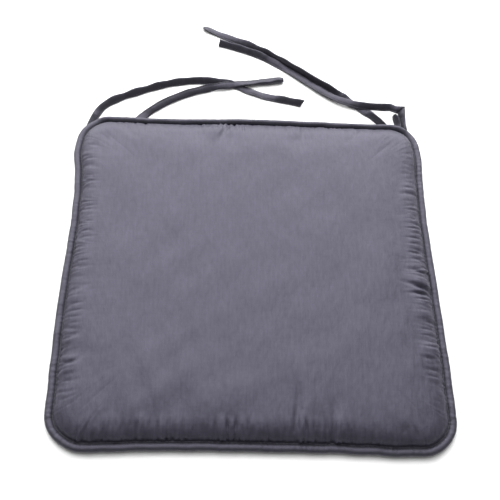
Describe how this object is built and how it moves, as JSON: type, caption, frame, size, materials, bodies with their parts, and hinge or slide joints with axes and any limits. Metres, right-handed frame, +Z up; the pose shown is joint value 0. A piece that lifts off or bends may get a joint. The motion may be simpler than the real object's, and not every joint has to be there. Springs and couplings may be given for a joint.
{
  "type": "chair seat pad",
  "caption": "Square padded chair cushion with a bound, stitched edge and flat tie tapes sewn to its rear corners.",
  "frame": {"origin": "centre of the pad's underside, on the surface that it rests on", "axes": "+Z up through the pad, +Y towards the rear edge that carries the ties, +X to the right when the ties point away from the viewer"},
  "size_m": [0.4, 0.559, 0.019],
  "materials": {
    "satin_top": "satin",
    "satin_base": "satin",
    "satin_tape": "satin",
    "sewing_thread": "satin",
    "foam": "matte"
  },
  "bodies": {
    "pad": {"foam_core": "foam", "top_cover": "satin_top", "bottom_cover": "satin_base", "edge_binding": "satin_tape", "binding_needle_thread": "sewing_thread", "binding_bobbin_thread": "sewing_thread", "tie_left_outer_root": "satin_tape", "tie_left_outer_bartack": "sewing_thread", "tie_left_inner_root": "satin_tape", "tie_left_inner_bartack": "sewing_thread", "tie_right_outer_root": "satin_tape", "tie_right_outer_bartack": "sewing_thread", "tie_right_inner_root": "satin_tape", "tie_right_inner_bartack": "sewing_thread"},
    "tie_left_outer_tape": {"tie_left_outer": "satin_tape", "tie_left_outer_stitching": "sewing_thread"},
    "tie_left_inner_tape": {"tie_left_inner": "satin_tape", "tie_left_inner_stitching": "sewing_thread"},
    "tie_right_outer_tape": {"tie_right_outer": "satin_tape", "tie_right_outer_stitching": "sewing_thread"},
    "tie_right_inner_tape": {"tie_right_inner": "satin_tape", "tie_right_inner_stitching": "sewing_thread"}
  },
  "joints": [
    {"name": "tie_left_outer_lift", "type": "hinge", "parent": "pad", "child": "tie_left_outer_tape", "pos_m": [0, 0.202, 0.0018], "axis": [1, 0, 0], "range_deg": [0, 95]},
    {"name": "tie_left_inner_lift", "type": "hinge", "parent": "pad", "child": "tie_left_inner_tape", "pos_m": [0, 0.202, 0.0018], "axis": [1, 0, 0], "range_deg": [0, 95]},
    {"name": "tie_right_outer_lift", "type": "hinge", "parent": "pad", "child": "tie_right_outer_tape", "pos_m": [0, 0.202, 0.0018], "axis": [1, 0, 0], "range_deg": [0, 95]},
    {"name": "tie_right_inner_lift", "type": "hinge", "parent": "pad", "child": "tie_right_inner_tape", "pos_m": [0, 0.202, 0.0018], "axis": [1, 0, 0], "range_deg": [0, 95]}
  ],
  "couplings": [
    {"joint": "tie_left_inner_lift", "follows": "tie_left_outer_lift", "ratio": 1},
    {"joint": "tie_right_inner_lift", "follows": "tie_right_outer_lift", "ratio": 1}
  ]
}
